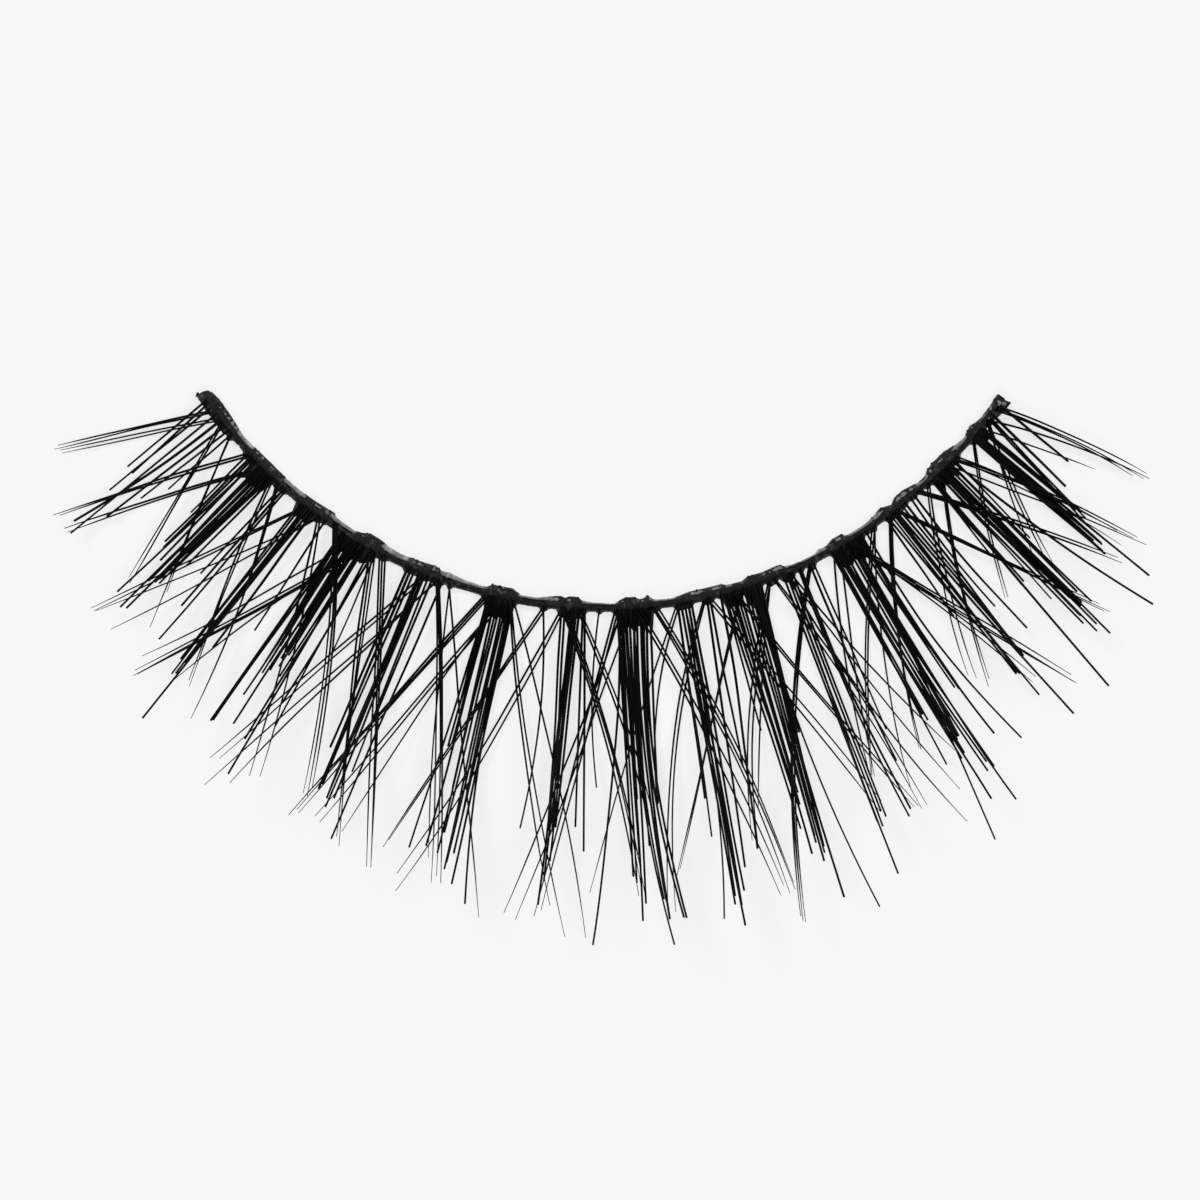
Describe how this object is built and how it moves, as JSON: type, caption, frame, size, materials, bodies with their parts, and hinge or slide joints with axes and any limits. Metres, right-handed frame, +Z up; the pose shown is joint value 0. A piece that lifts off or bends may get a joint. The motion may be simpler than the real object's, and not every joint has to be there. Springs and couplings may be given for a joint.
{
  "type": "false eyelash strip",
  "caption": "Curved thread band with knotted tufts of crossing black lashes that curl up at their tips, worn glued along the edge of an eyelid.",
  "frame": {"origin": "on the underside of the band, at the middle of its length, on the surface that the strip lies on", "axes": "+X towards the strip's right end, +Y towards the inside of the band's arc, +Z up; the lashes reach towards -Y and curl up"},
  "size_m": [0.0388, 0.0195, 0.0043],
  "materials": {
    "lash_hair": "satin black synthetic fibre",
    "lash_band": "black thread stiffened with glue",
    "clear_glue": "clear dried glue over black thread"
  },
  "bodies": {
    "root": {"band": "lash_band", "glue_line": "clear_glue", "tuft_01": "lash_hair", "tuft_02": "lash_hair", "tuft_03": "lash_hair", "tuft_04": "lash_hair", "tuft_05": "lash_hair", "tuft_06": "lash_hair", "tuft_07": "lash_hair", "tuft_08": "lash_hair", "tuft_09": "lash_hair", "tuft_10": "lash_hair", "tuft_11": "lash_hair", "tuft_12": "lash_hair", "tuft_13": "lash_hair", "tuft_14": "lash_hair", "tuft_15": "lash_hair", "tuft_16": "lash_hair"}
  },
  "joints": []
}
